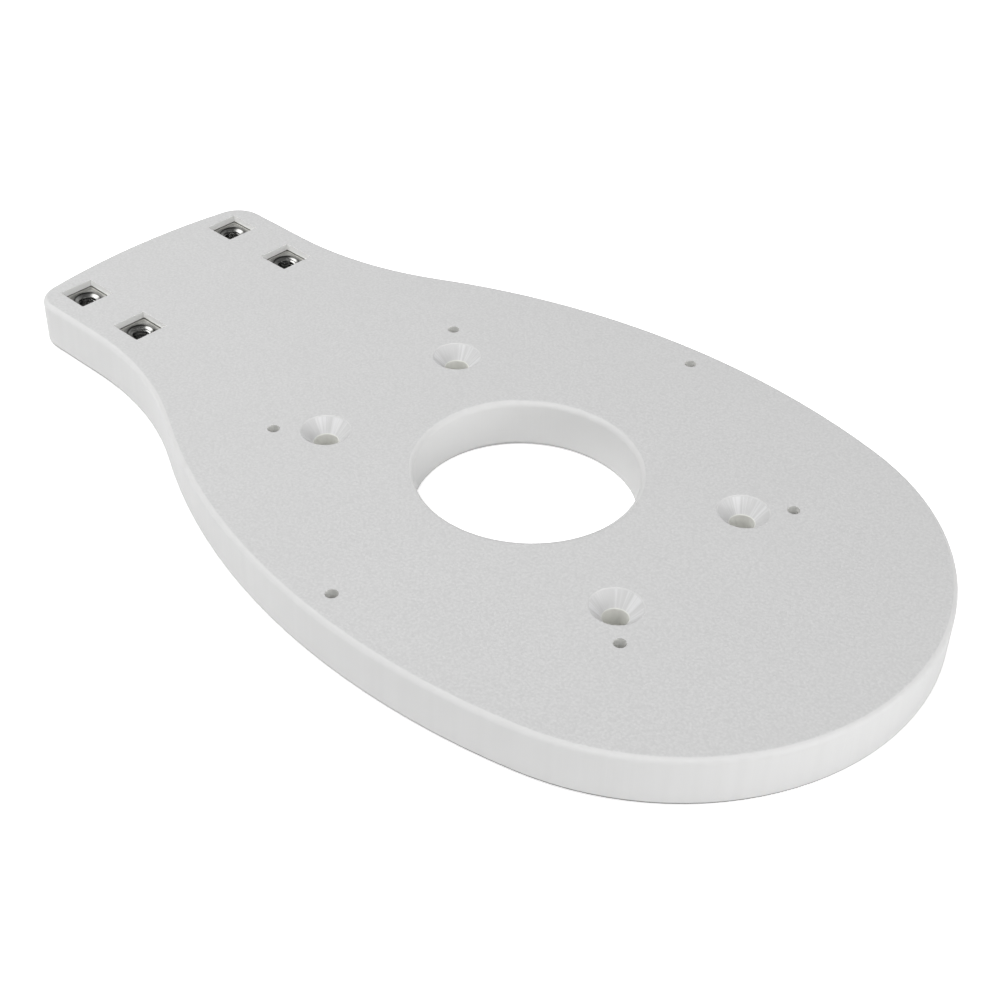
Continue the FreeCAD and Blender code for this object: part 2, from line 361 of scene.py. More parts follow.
# %% [markdown]
# ## Finishes that both materials share
#
# The plastic board and the steel nuts are different stuffs, but the same few
# things happen to their surfaces. Both have a skin with a fine pebble, coarse
# on the rolled plastic sheet and very fine on the tumbled steel. Both have
# surfaces that a cutter left, with marks that run along its path. Both get
# paler, smoother arrises, and both pick up faint smudges from hands.
#
# Each effect is a shader node group, built once with named inputs. A material
# then places the group with its own sizes. The groups give out masks, heights
# and normals only. The shader itself stays in the material.

# %% A builder for the groups


def new_group(name, inputs, outputs):
    """An empty shader group: returns it, its inputs as fields, and its output node."""
    group = bpy.data.node_groups.new(name, "ShaderNodeTree")
    for label, (kind, value) in inputs.items():
        socket = group.interface.new_socket(name=label, in_out="INPUT", socket_type=kind)
        if value is not None:
            socket.default_value = value
    for label, kind in outputs.items():
        group.interface.new_socket(name=label, in_out="OUTPUT", socket_type=kind)
    start = group.nodes.new("NodeGroupInput")
    end = group.nodes.new("NodeGroupOutput")
    return group, {label: output(start, label) for label in inputs}, end


def place_group(tree, group, **values):
    """Uses a group in a material. Its inputs are given by name, with _ for a space."""
    inputs = {name.replace("_", " "): value for name, value in values.items()}
    node = add_node(tree, "ShaderNodeGroup", node_tree=group)
    for name, value in inputs.items():
        feed(node.inputs[name], value)
    return node


VECTOR, NUMBER = "NodeSocketVector", "NodeSocketFloat"
print("group sockets:", VECTOR, NUMBER)

# %% [markdown]
# Nodes made by a script all land on one spot. The last helper lays them out in
# columns, so that a tree can be read when it is opened in the node editor.

# %% Lay out a node tree
COLUMN_STEP, ROW_STEP = -240, -190


def arrange(tree):
    """Lays the nodes out in columns by how far they are from the end of the tree."""
    depth = {node: 0 for node in tree.nodes}
    for _ in tree.nodes:
        for link in tree.links:
            depth[link.from_node] = max(depth[link.from_node], depth[link.to_node] + 1)
    rows = {}
    for node in tree.nodes:
        row = rows.get(depth[node], 0)
        node.location = (COLUMN_STEP * depth[node], ROW_STEP * row)
        rows[depth[node]] = row + 1


print("node columns every", -COLUMN_STEP)

# %% [markdown]
# Every natural unevenness below starts from the Noise texture, which gives
# soft values round 0.5. It needs no seed: the same place always gets the same
# value.

# %% Soft noise


def noise(vector, scale, detail=2.0, roughness=0.5, distortion=0.0):
    """Soft random values from 0 to 1."""
    node = add_node(
        vector.socket.id_data,
        "ShaderNodeTexNoise",
        {
            "Vector": vector,
            "Scale": scale,
            "Detail": detail,
            "Roughness": roughness,
            "Distortion": distortion,
        },
    )
    return Field(node.outputs[0])


print("noise ready")

# %% [markdown]
# ### The pebbled skin
#
# A rolled sheet and a tumbled nut both have small round bumps that touch each
# other. Noise alone gives hills without edges, and Voronoi cells alone look
# like scales. The group blends them, and Crispness says how much of the cells
# shows. It also gives out a broad, slow change of tone.

# %% Pebbled skin
CELL_SMOOTHNESS = 0.35
BROAD_TONE = 0.04  # of the pebbles' own scale

pebbled_skin, given, end = new_group(
    "pebbled_skin",
    {"Place": (VECTOR, None), "Pebble Size": (NUMBER, 1.2 * MM), "Crispness": (NUMBER, 0.5)},
    {"Height": NUMBER, "Tone": NUMBER},
)
per_metre = 1.0 / given["Pebble Size"]
soft_lumps = noise(given["Place"], per_metre, detail=1.5)
cells = add_node(
    pebbled_skin,
    "ShaderNodeTexVoronoi",
    {"Vector": given["Place"], "Scale": per_metre, "Smoothness": CELL_SMOOTHNESS},
    feature="SMOOTH_F1",
)
pebbles = output(cells, "Distance")
height = soft_lumps * (1.0 - given["Crispness"]) + (1.0 - pebbles) * given["Crispness"]
feed(end.inputs["Height"], height)
feed(end.inputs["Tone"], noise(given["Place"], per_metre * BROAD_TONE, detail=3.0))
arrange(pebbled_skin)
print("group:", pebbled_skin.name, len(pebbled_skin.nodes), "nodes")

# %% [markdown]
# ### The cutter's marks
#
# A cutter leaves fine lines across its path and broader ones where it shook.
# Both are noise. What makes them lines is the vector that the material gives:
# it changes quickly across the marks and hardly along them.

# %% Cutter marks
BROAD_LINES = 0.16  # of the fine lines' scale
FINE_SHARE, BROAD_SHARE = 0.6, 0.4

cutter_marks, given, end = new_group(
    "cutter_marks",
    {"Across": (VECTOR, None), "Mark Spacing": (NUMBER, 0.8 * MM)},
    {"Height": NUMBER, "Tone": NUMBER},
)
per_metre = 1.0 / given["Mark Spacing"]
fine_lines = noise(given["Across"], per_metre, detail=3.0, roughness=0.65)
broad_lines = noise(given["Across"], per_metre * BROAD_LINES, detail=2.0)
feed(end.inputs["Height"], fine_lines * FINE_SHARE + broad_lines * BROAD_SHARE)
feed(end.inputs["Tone"], broad_lines)
arrange(cutter_marks)
print("group:", cutter_marks.name, len(cutter_marks.nodes), "nodes")

# %% [markdown]
# ### Smudges
#
# Hands leave thin films that change the sheen and not the colour. One noise
# with a little distortion gives their shapes, and a smooth step turns it into
# patches with clean places between them.

# %% Smudges from hands
CLEAN, SMUDGED = 0.35, 0.7  # where the noise starts and ends a patch


def smooth_rise(value, low, high):
    """0 below low, 1 above high, with a soft change between them."""
    node = add_node(
        value.socket.id_data,
        "ShaderNodeMapRange",
        {"Value": value, "From Min": low, "From Max": high},
        interpolation_type="SMOOTHSTEP",
    )
    return output(node, "Result")


hand_smudges, given, end = new_group(
    "hand_smudges",
    {"Place": (VECTOR, None), "Patch Size": (NUMBER, 30.0 * MM)},
    {"Smudge": NUMBER},
)
per_metre = 1.0 / given["Patch Size"]
patches = noise(given["Place"], per_metre, detail=4.0, roughness=0.6, distortion=0.4)
feed(end.inputs["Smudge"], smooth_rise(patches, CLEAN, SMUDGED))
arrange(hand_smudges)
print("group:", hand_smudges.name, len(hand_smudges.nodes), "nodes")

# %% [markdown]
# ### Worn arrises
#
# An arris is the edge where two faces meet, and a real one is never knife
# sharp. The Bevel node gives a normal that turns softly over it without a
# change to the mesh, which matters for the plate, since its mesh is fixed. How
# far that normal differs from the true one tells where the arris is, and that
# is the mask for wear.

# %% Worn arrises
FAINT_TURN, FULL_TURN = 0.01, 0.15  # 1 less the cosine between the two normals
LEAST_WEAR = 0.5

worn_arris, given, end = new_group(
    "worn_arris",
    {"Reach": (NUMBER, 0.3 * MM), "Place": (VECTOR, None), "Nick Size": (NUMBER, 1.5 * MM)},
    {"Wear": NUMBER, "Softened": VECTOR},
)
softened = add_node(worn_arris, "ShaderNodeBevel", {"Radius": given["Reach"]}, samples=4)
geometry = add_node(worn_arris, "ShaderNodeNewGeometry")
turned = add_node(worn_arris, "ShaderNodeVectorMath", operation="DOT_PRODUCT")
feed(turned.inputs[0], output(softened, "Normal"))
feed(turned.inputs[1], output(geometry, "Normal"))
nicks = noise(given["Place"], 1.0 / given["Nick Size"], detail=3.0)
wear = smooth_rise(1.0 - output(turned, "Value"), FAINT_TURN, FULL_TURN) * (LEAST_WEAR + nicks)
feed(end.inputs["Wear"], wear.limited(0.0, 1.0))
feed(end.inputs["Softened"], output(softened, "Normal"))
arrange(worn_arris)
print("group:", worn_arris.name, len(worn_arris.nodes), "nodes")

# %% [markdown]
# ## The marine board
#
# The plate is routed from a sheet of high-density polyethylene. The maker
# presses a fine orange peel into both faces of the sheet, which hides
# scratches and keeps the glare down. Wherever a cutter has been, the plastic
# is smooth instead: the outer edge, the big hole, the pockets and the
# countersinks. The cutter leaves faint upright lines there.
#
# The finish could be painted on with a map, but the rule is simple enough to
# work out: a point has the sheet's skin if it lies at the very top or bottom
# of the plate and faces straight up or down. Everything else has been cut.

# %% Set up the board's material
PLASTIC_IOR = 1.5
SKIN_STARTS, SKIN_ENDS = 0.12 * MM, 0.02 * MM  # below a face of the sheet
TILTED, LEVEL = 0.95, 0.999
START_COLOUR, START_ROUGHNESS = (0.6, 0.6, 0.6), 0.5  # the nodes below take their place


def parts_of(vector):
    """The x, y and z of a vector field."""
    split = add_node(vector.socket.id_data, "ShaderNodeSeparateXYZ", {0: vector})
    return [Field(socket) for socket in split.outputs]


board, board_shader = plain_material("marine_board_finish", START_COLOUR, START_ROUGHNESS)
board_tree = board.node_tree
board_shader.inputs["IOR"].default_value = PLASTIC_IOR
place = output(add_node(board_tree, "ShaderNodeTexCoord"), "Object")
facing = output(board_tree.nodes["Texture Coordinate"], "Normal")
x, y, z = parts_of(place)
facing_up = parts_of(facing)[2]
middle = (lowest.z + highest.z) / 2
to_face = plate_size.z / 2
at_a_face = smooth_rise(abs(z - middle), to_face - SKIN_STARTS, to_face - SKIN_ENDS)
skin = at_a_face * smooth_rise(abs(facing_up), TILTED, LEVEL)
print("board: skin and cut surfaces told apart")

# %% [markdown]
# ### Where the holes are
#
# The finish changes from hole to hole, so the material has to know where they
# are. They could be marked on the mesh, but that mesh belongs to the frame and
# stays as it is. The record lists every pattern of holes, with its place and
# sizes, and the distance to the nearest hole follows from those. Absolute
# values fold a rectangle of four holes onto one.

# %% Find the holes
mounts = {mount["name"]: mount for mount in frame["record"]["mounts"]}


def distance(across, along):
    """How far a point is from a hole's axis."""
    return calculate("SQRT", across * across + along * along)


def from_nearest(mount):
    """The way in x and in y from the nearest of four holes at a rectangle's corners."""
    sizes = mount["dims"]
    return (
        abs(x - mount["pos_m"][0]) - sizes["spacing_x_mm"] / 2 * MM,
        abs(y - mount["pos_m"][1]) - sizes["spacing_y_mm"] / 2 * MM,
    )


def within(value, limit, softness=0.2 * MM):
    """1 where the value is under the limit, 0 where it is over."""
    return 1.0 - smooth_rise(value, limit, limit + softness)


from_middle = distance(x, y)
screw_x, screw_y = from_nearest(mounts["mast_mount_screws"])
from_screw = distance(screw_x, screw_y)
nut_x, nut_y = from_nearest(mounts["tail_nut_threads"])
from_nut = calculate("MAXIMUM", abs(nut_x), abs(nut_y))
print("screw holes and nuts found")

# %% [markdown]
# The pilot holes lie on a ring and repeat every sixth of a turn. Six distances
# could be compared, but it is shorter to turn each point back into the same
# sixth and take one distance there.

# %% Find the ring of pilot holes
pilot_ring = mounts["radome_pilot_holes"]["dims"]
sixth = math.tau / pilot_ring["count"]
turn = calculate("ARCTAN2", y, x)
folded = turn - (calculate("FLOOR", turn / sixth) + 0.5) * sixth
from_pilot = distance(
    from_middle * calculate("COSINE", folded) - pilot_ring["pcd_mm"] / 2 * MM,
    from_middle * calculate("SINE", folded),
)
print("pilot holes found:", pilot_ring["count"])

# %% [markdown]
# ### Peel, marks and smudges
#
# A router bit runs along a wall and leaves upright lines, so there the marks
# hardly change with height. A countersink bit turns on the spot and chatters,
# which leaves rays. One group draws both, because in a countersink the vector
# is first pulled onto a circle round the screw, where only the angle counts.

# %% Place the shared groups on the board
PEEL_SIZE, PEEL_CRISPNESS = 0.95 * MM, 0.35
MARK_SPACING = 0.7 * MM
MARKS_WITH_HEIGHT = 0.02
CONE_RADIUS = 8.6 * MM
RAY_CIRCLE = 4.0 * MM
NEVER_ZERO = 0.01 * MM
ARRIS_REACH, NICK_SIZE = 0.25 * MM, 2.0 * MM
HAND_PATCH = 45.0 * MM


def vector_of(x, y, z):
    """A vector field from three numbers or fields."""
    tree = next(value.socket.id_data for value in (x, y, z) if isinstance(value, Field))
    return output(add_node(tree, "ShaderNodeCombineXYZ", {"X": x, "Y": y, "Z": z}), "Vector")


peel = place_group(
    board_tree,
    pebbled_skin,
    Place=place,
    Pebble_Size=PEEL_SIZE,
    Crispness=PEEL_CRISPNESS,
)
in_countersink = within(from_screw, CONE_RADIUS)
round_screw = RAY_CIRCLE / (from_screw + NEVER_ZERO)
across_wall = vector_of(
    x + in_countersink * (screw_x * round_screw - x),
    y + in_countersink * (screw_y * round_screw - y),
    z * MARKS_WITH_HEIGHT,
)
marks = place_group(board_tree, cutter_marks, Across=across_wall, Mark_Spacing=MARK_SPACING)
arris = place_group(board_tree, worn_arris, Reach=ARRIS_REACH, Place=place, Nick_Size=NICK_SIZE)
smudges = place_group(board_tree, hand_smudges, Place=place, Patch_Size=HAND_PATCH)
print("board groups: peel, marks, arris and smudges")

# %% [markdown]
# The depth of the peel is real, in metres, so the Bump node's Distance is 1
# and its Height carries the sizes. Real displacement would need millions of
# faces for bumps that are a tenth of a millimetre deep. The Bump starts from
# the softened normal, so that relief and round arrises add up.

# %% Relief of the board
PEEL_DEPTH = 0.15 * MM
MARK_DEPTH = 0.05 * MM

peel_height = output(peel, "Height") * skin * PEEL_DEPTH
mark_height = output(marks, "Height") * (1.0 - skin) * (1.0 + in_countersink) * MARK_DEPTH


def add_relief(tree, shader, height, normal):
    """Bumps on a shader, from a height in metres and the normal to start from."""
    bump = {"Strength": 1.0, "Distance": 1.0, "Height": height, "Normal": normal}
    feed(shader.inputs["Normal"], output(add_node(tree, "ShaderNodeBump", bump), "Normal"))


add_relief(board_tree, board_shader, peel_height + mark_height, output(arris, "Softened"))
print("peel depth, mm:", round(PEEL_DEPTH / MM, 2))

# %% [markdown]
# ### Colour
#
# The plastic is one pale grey right through, yet it doesn't look it. The pits
# of the peel are painted a shade darker, which is painted shade, and cut walls
# are paler than the skin. Two near colours are mixed by each group's slow
# tone, so that neither is flat.

# %% Colour of the skin and of cut walls
SHEET_COLOUR = (0.590, 0.590, 0.590, 1.0)
SHEET_COLOUR_PALE = (0.610, 0.610, 0.610, 1.0)
PIT_SHADE_COLOUR = (0.54, 0.54, 0.54, 1.0)
CUT_COLOUR = (0.600, 0.600, 0.597, 1.0)
CUT_COLOUR_PALE = (0.640, 0.640, 0.638, 1.0)
PIT_BOTTOM, PIT_RIM = 0.30, 0.75  # of the peel's height


def mixed(share, first, second):
    """A colour between two colours, which may be fields."""
    node = share.socket.id_data.nodes.new("ShaderNodeMix")
    node.data_type = "RGBA"
    sockets = {socket.identifier: socket for socket in node.inputs}
    feed(sockets["Factor_Float"], share)
    feed(sockets["A_Color"], first)
    feed(sockets["B_Color"], second)
    return Field(next(s for s in node.outputs if s.identifier == "Result_Color"))


sheet_colour = mixed(output(peel, "Tone"), SHEET_COLOUR, SHEET_COLOUR_PALE)
# painted shade: the pits of the peel are darkened
pit_shade = 1.0 - smooth_rise(output(peel, "Height"), PIT_BOTTOM, PIT_RIM)
sheet_colour = mixed(pit_shade, sheet_colour, PIT_SHADE_COLOUR)
cut_colour = mixed(output(marks, "Tone"), CUT_COLOUR, CUT_COLOUR_PALE)
print("skin and cut walls coloured")

# %% [markdown]
# Light goes a little way into this plastic and makes the walls of narrow holes
# look paler than a wall in the open. Subsurface scattering would do that, but
# it is slow and blurs the fine peel, so each kind of hole gets a colour of its
# own. The masks come from the distances found above.

# %% Masks of the holes
POCKET_PLAY = 0.15 * MM
CABLE_HOLE_EDGE = 1.5 * MM
SCREW_BORE_RADIUS, PILOT_BORE_RADIUS = 4.4 * MM, 2.3 * MM
PILOT_SHARE = 0.5
CHATTER_STARTS, CHATTER_ENDS = 0.45, 0.62
SIDEWAYS_STARTS, SIDEWAYS_ENDS = 0.6, 0.8
SEAT_STARTS, SEAT_ENDS = 0.4 * MM, 0.1 * MM  # below the nuts' seat

nut_low, nut_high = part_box("tail_nut_outer_left")
cable_radius = mounts["cable_hole"]["dims"]["r_mm"] * MM
pocket_half = (nut_high.x - nut_low.x) / 2 + POCKET_PLAY
in_cable_hole = within(from_middle, cable_radius, CABLE_HOLE_EDGE)
above_seat = smooth_rise(z, nut_low.z - SEAT_STARTS, nut_low.z - SEAT_ENDS)
in_pocket = within(from_nut, pocket_half) * above_seat
in_bolt_hole = within(from_nut, pocket_half) * (1.0 - above_seat)
in_screw_hole = within(from_screw, SCREW_BORE_RADIUS)
in_pilot_hole = within(from_pilot, PILOT_BORE_RADIUS) * PILOT_SHARE
in_bore = in_screw_hole + in_pilot_hole + in_bolt_hole
chatter = smooth_rise(output(marks, "Height"), CHATTER_STARTS, CHATTER_ENDS) * in_countersink
faces_sideways = smooth_rise(abs(parts_of(facing)[1]), SIDEWAYS_STARTS, SIDEWAYS_ENDS)
print("masks ready, pocket half width, mm:", round(pocket_half / MM, 2))

# %% [markdown]
# The bores and pockets are paler than the outer wall, the big hole is about
# the same, and the cones are a little darker with pale rays. In a pocket, the
# walls that face along the plate's width are the palest, which is painted light
# on them. All of these colours are given one by one. A bore lies inside its
# cone's mask, so its colour comes later. The skin goes over all cut colours,
# and the worn arris over both.

# %% Colour of the holes and arrises
HOLE_COLOUR = (0.62, 0.62, 0.616, 1.0)
# the two pocket colours are painted light, paler on the walls that face along the plate's width
POCKET_SIDE_PAINTED_LIGHT = (0.96, 0.96, 0.95, 1.0)
POCKET_END_PAINTED_LIGHT = (0.68, 0.68, 0.67, 1.0)
BORE_COLOUR = (0.76, 0.76, 0.725, 1.0)
CONE_COLOUR = (0.545, 0.545, 0.545, 1.0)
CHATTER_COLOUR = (0.67, 0.67, 0.675, 1.0)
ARRIS_COLOUR = (0.70, 0.70, 0.69, 1.0)
CONE_SHARE = 0.8
ARRIS_SHARE = 0.5
POCKET_RIM = 0.4 * MM

wall_colour = mixed(in_countersink * CONE_SHARE, cut_colour, CONE_COLOUR)
wall_colour = mixed(chatter, wall_colour, CHATTER_COLOUR)
wall_colour = mixed(in_cable_hole, wall_colour, HOLE_COLOUR)
# painted light: the pocket walls that face along the plate's width are painted paler than its ends
pocket_painted_light = mixed(faces_sideways, POCKET_END_PAINTED_LIGHT, POCKET_SIDE_PAINTED_LIGHT)
wall_colour = mixed(in_pocket, wall_colour, pocket_painted_light)
wall_colour = mixed(in_bore, wall_colour, BORE_COLOUR)
surface_colour = mixed(skin, wall_colour, sheet_colour)
surface_colour = mixed(output(arris, "Wear") * ARRIS_SHARE, surface_colour, ARRIS_COLOUR)
# painted highlight: the arrises round each pocket are painted nearly white
pocket_arris_highlight = within(from_nut, pocket_half + POCKET_RIM) * output(arris, "Wear")
surface_colour = mixed(pocket_arris_highlight, surface_colour, POCKET_SIDE_PAINTED_LIGHT)
print("holes and arrises coloured")

# %% [markdown]
# ### Painted shade
#
# Painted shade goes where light hardly reaches: under the lower arris, and in
# the thin gap between each nut and its pocket. Both places follow from height
# and facing, so nothing has to be painted by hand. Near the big hole most of
# the shade under the arris is taken away.

# %% Painted shade under the lower arris and round the nuts
UNDER_ARRIS_SHADE_COLOUR = (0.13, 0.13, 0.125, 1.0)
GAP_SHADE_COLOUR = (0.12, 0.12, 0.11, 1.0)
UNDER_SHADE_STARTS, UNDER_SHADE_ENDS = (0.12, 0.36), (0.75, 0.92)  # how far the surface faces down
UNDER_SHADE_HEIGHT = 1.6 * MM
LESS_SHADE_REACH, LESS_SHADE_SHARE = 3.0 * MM, 0.75
ABOVE_NUT = 0.05 * MM

facing_down = 0.0 - facing_up
# painted shade: a dark band on the lower arris, where the surface faces partly down
under_arris_shade = smooth_rise(facing_down, *UNDER_SHADE_STARTS) * (1.0 - smooth_rise(facing_down, *UNDER_SHADE_ENDS))
under_arris_shade = under_arris_shade * within(z, UNDER_SHADE_HEIGHT)
under_arris_shade = under_arris_shade * (1.0 - within(from_middle, cable_radius + LESS_SHADE_REACH) * LESS_SHADE_SHARE)
# painted shade: the pocket below the top of the nut, in the gap round it, is painted nearly black
gap_shade = within(z, nut_high.z + ABOVE_NUT) * in_pocket
surface_colour = mixed(under_arris_shade, surface_colour, UNDER_ARRIS_SHADE_COLOUR)
surface_colour = mixed(gap_shade, surface_colour, GAP_SHADE_COLOUR)
feed(board_shader.inputs["Base Color"], surface_colour)
print("grime up to, mm:", round(UNDER_SHADE_HEIGHT / MM, 1))

# %% [markdown]
# ### Sheen
#
# Cut walls shine a little more than the pressed skin, the tops of the pebbles
# are duller than their pits, and hands take off some of the shine in patches.
# All of it goes into the one Roughness of the shader.

# %% Sheen of the board
CUT_ROUGHNESS = 0.40
SKIN_EXTRA, PEBBLE_EXTRA, SMUDGE_EXTRA = 0.12, 0.1, 0.07

sheen_loss = output(smudges, "Smudge") * SMUDGE_EXTRA
peel_roughness = output(peel, "Height") * PEBBLE_EXTRA
roughness = CUT_ROUGHNESS + skin * SKIN_EXTRA + sheen_loss + peel_roughness * skin
feed(board_shader.inputs["Roughness"], roughness)
arrange(board_tree)

plate = frame["nodes"]["mounting_plate"]
plate.material_slots[0].material = board
print("board material:", len(board_tree.nodes), "nodes")

# %% [markdown]
# ## Stainless steel
#
# The nuts are pressed from stainless bar and tumbled with stones, so their
# faces are satin grey with a fine pebble. The threads and the lead-in cones at
# their mouths were cut afterwards, so they are smoother and shine more, with
# rings round the hole. A nut's mesh carries three attributes made along with
# its shape: how far a point is along the cut profile, whether it was cut at
# all, and how far it is from the nearer mouth. The material reads those, so
# the rings follow the hole of each nut wherever it sits.

# %% Colours and sizes of the stainless finish
STEEL = (0.72, 0.715, 0.68, 1.0)
STEEL_PALE = (0.82, 0.815, 0.78, 1.0)
STEEL_EDGE = (0.86, 0.86, 0.84, 1.0)
STEEL_CUT_SHADED = (0.19, 0.19, 0.185, 1.0)
STEEL_MOUTH_SHADE = (0.03, 0.03, 0.028, 1.0)
TUMBLED_SIZE, TUMBLED_CRISPNESS, TUMBLED_DEPTH = 0.22 * MM, 0.4, 0.012 * MM
RING_SPACING, RING_DEPTH = 0.12 * MM, 0.006 * MM
STEEL_REACH, STEEL_NICK = 0.12 * MM, 0.5 * MM
FINGER_PATCH = 5.0 * MM

steel, steel_shader = plain_material("stainless_finish", START_COLOUR, START_ROUGHNESS)
steel_tree = steel.node_tree
steel_shader.inputs["Metallic"].default_value = 1.0
place = output(add_node(steel_tree, "ShaderNodeTexCoord"), "Object")
cut = output(add_node(steel_tree, "ShaderNodeAttribute", attribute_name="cut_wall"), "Fac")
along = output(add_node(steel_tree, "ShaderNodeAttribute", attribute_name="along_profile"), "Fac")
from_mouth = output(add_node(steel_tree, "ShaderNodeAttribute", attribute_name="from_mouth"), "Fac")
print("steel reads:", "cut_wall, along_profile, from_mouth")

# %% [markdown]
# The four shared groups serve the steel too, with sizes of their own: a pebble
# of a fifth of a millimetre, and marks that run as rings, since the vector
# across them is the way along the cut profile.

# %% Place the shared groups on the steel
tumbled = place_group(
    steel_tree,
    pebbled_skin,
    Place=place,
    Pebble_Size=TUMBLED_SIZE,
    Crispness=TUMBLED_CRISPNESS,
)
across_rings = vector_of(along, 0.0, 0.0)
rings = place_group(steel_tree, cutter_marks, Across=across_rings, Mark_Spacing=RING_SPACING)
arris = place_group(steel_tree, worn_arris, Reach=STEEL_REACH, Place=place, Nick_Size=STEEL_NICK)
smudges = place_group(steel_tree, hand_smudges, Place=place, Patch_Size=FINGER_PATCH)

tumbled_height = output(tumbled, "Height") * (1.0 - cut) * TUMBLED_DEPTH
ring_height = output(rings, "Height") * cut * RING_DEPTH
relief_height = tumbled_height + ring_height
add_relief(steel_tree, steel_shader, relief_height, output(arris, "Softened"))
print("steel groups: tumbled skin, rings, arris and smudges")

# %% [markdown]
# Tumbled faces vary a little in tone. The cut wall is painted much darker,
# partly for its cut finish and partly as painted shade inside the hole, with a
# nearly black ring of painted shade at its mouth. Arrises are rubbed bright. A
# metal shows only what it reflects, so these colours set how much of the light
# each place sends back.

# %% Colour and sheen of the steel
MOUTH_SHADE_WIDTH = 0.2 * MM
STEEL_ARRIS_SHARE = 0.6
TUMBLED_ROUGHNESS, CUT_SMOOTHER = 0.36, 0.14
FINGER_EXTRA, TUMBLED_EXTRA = 0.08, 0.06

# the cut wall's dark colour is partly its cut finish and partly painted shade inside the hole
steel_colour = mixed(cut, mixed(output(tumbled, "Tone"), STEEL, STEEL_PALE), STEEL_CUT_SHADED)
# painted shade: a nearly black ring on the cut wall at each mouth
mouth_shade = within(from_mouth, MOUTH_SHADE_WIDTH, MOUTH_SHADE_WIDTH) * cut
steel_colour = mixed(mouth_shade, steel_colour, STEEL_MOUTH_SHADE)
steel_colour = mixed(output(arris, "Wear") * STEEL_ARRIS_SHARE, steel_colour, STEEL_EDGE)
feed(steel_shader.inputs["Base Color"], steel_colour)
finger_roughness = output(smudges, "Smudge") * FINGER_EXTRA
tumbled_roughness = output(tumbled, "Height") * TUMBLED_EXTRA
roughness = TUMBLED_ROUGHNESS - cut * CUT_SMOOTHER + finger_roughness + tumbled_roughness
feed(steel_shader.inputs["Roughness"], roughness)
arrange(steel_tree)
print("stainless material:", len(steel_tree.nodes), "nodes")

# %% [markdown]
# ## Square nuts with a real thread
#
# A square nut is a short piece of square bar with a tapped hole. The hole
# could be cut with a boolean and a coiled tool, but that leaves broken faces
# where the thread runs out. Here the nut is worked out as a rule instead, in
# Geometry Nodes. A flat grid of points is wrapped round the nut's axis: across
# the grid is the angle, and up the grid is the way along the section.
#
# The rows of the thread's grid climb by one pitch for each turn, so they run
# along the thread and meet the row above where the grid closes. Where the
# thread reaches a lead-in cone, the wider of the two wins, just as the drill
# and the tap would leave it. A second grid makes the cheeks and the outside,
# and points that meet are merged into one closed skin.

# %% Sizes of the nut that the frame doesn't give
NUT_SIZES = {
    "Corner Radius": 0.8 * MM,
    "Edge Round": 0.4 * MM,
    "Crest Radius": 3.3 * MM,
    "Thread Depth": 0.67 * MM,
    "Pitch": 1.411 * MM,
    "Mouth Radius": 5.2 * MM,
    "Mouth Depth": 1.1 * MM,
}
STEPS_ROUND = 160
ROWS_PER_PITCH = 16
CORNERS, CORNER_CROWDING = 4, 0.2
ROOT_FLAT = 1 / 8  # of the pitch
FLANK_SLOPE = math.tan(math.radians(30))
EDGE_STEPS = 3
CLOSE = 0.0005 * MM
SHARP_ANGLE = math.radians(35)
print("thread pitch, mm:", round(NUT_SIZES["Pitch"] / MM, 3))

# %% [markdown]
# The tree gets a named input for each size, so that a nut of another size
# needs no new code. A modifier knows its inputs by identifiers and not by
# names, so the identifiers are kept.

# %% Start the nut's tree
nut_tree = bpy.data.node_groups.new("square_nut", "GeometryNodeTree")
nut_tree.is_modifier = True
nut_inputs = {}
for label in ("Seat", "Width", "Thickness", "Thread Start", *NUT_SIZES):
    kind = VECTOR if label == "Seat" else NUMBER
    socket = nut_tree.interface.new_socket(name=label, in_out="INPUT", socket_type=kind)
    socket.default_value = NUT_SIZES.get(label, socket.default_value)
    nut_inputs[label] = socket.identifier
nut_tree.interface.new_socket(name="Nut", in_out="OUTPUT", socket_type="NodeSocketGeometry")
start = nut_tree.nodes.new("NodeGroupInput")
given = {label: output(start, label) for label in nut_inputs}
print("nut inputs:", ", ".join(nut_inputs))

# %% [markdown]
# Both skins of the nut start as a flat grid. Its width becomes one turn round
# the axis, and its height becomes rows along the section. The steps of the
# turn crowd together at the four corners, which need them most.

# %% Wrap a grid round the nut's axis


def wrapped_grid(rows):
    """A grid mesh, with the angle and the row of each of its points as fields."""
    grid = add_node(
        nut_tree,
        "GeometryNodeMeshGrid",
        {"Size X": 1.0, "Size Y": 1.0, "Vertices X": STEPS_ROUND + 1, "Vertices Y": rows + 1},
    )
    across, up, _ = parts_of(output(add_node(nut_tree, "GeometryNodeInputPosition"), "Position"))
    turn = across + 0.5
    crowding = calculate("SINE", turn * (CORNERS * math.tau)) * CORNER_CROWDING
    angle = turn * math.tau + crowding
    return output(grid, "Mesh"), angle, (up + 0.5) * rows


print("grid steps round:", STEPS_ROUND)

# %% [markdown]
# Two more helpers finish a grid. One moves its points to an angle, a radius and
# a height round the nut's seat. The other keeps a field on the points under a
# name, so that the steel's material can read it.

# %% Move the points and keep attributes


def shaped(mesh, angle, radius, height):
    """The grid with its points moved to an angle, a radius and a height."""
    place = vector_of(
        radius * calculate("COSINE", angle),
        radius * calculate("SINE", angle),
        height,
    )
    seated = add_node(nut_tree, "ShaderNodeVectorMath", operation="ADD")
    feed(seated.inputs[0], place)
    feed(seated.inputs[1], given["Seat"])
    moves = {"Geometry": mesh, "Position": output(seated, "Vector")}
    return output(add_node(nut_tree, "GeometryNodeSetPosition", moves), "Geometry")


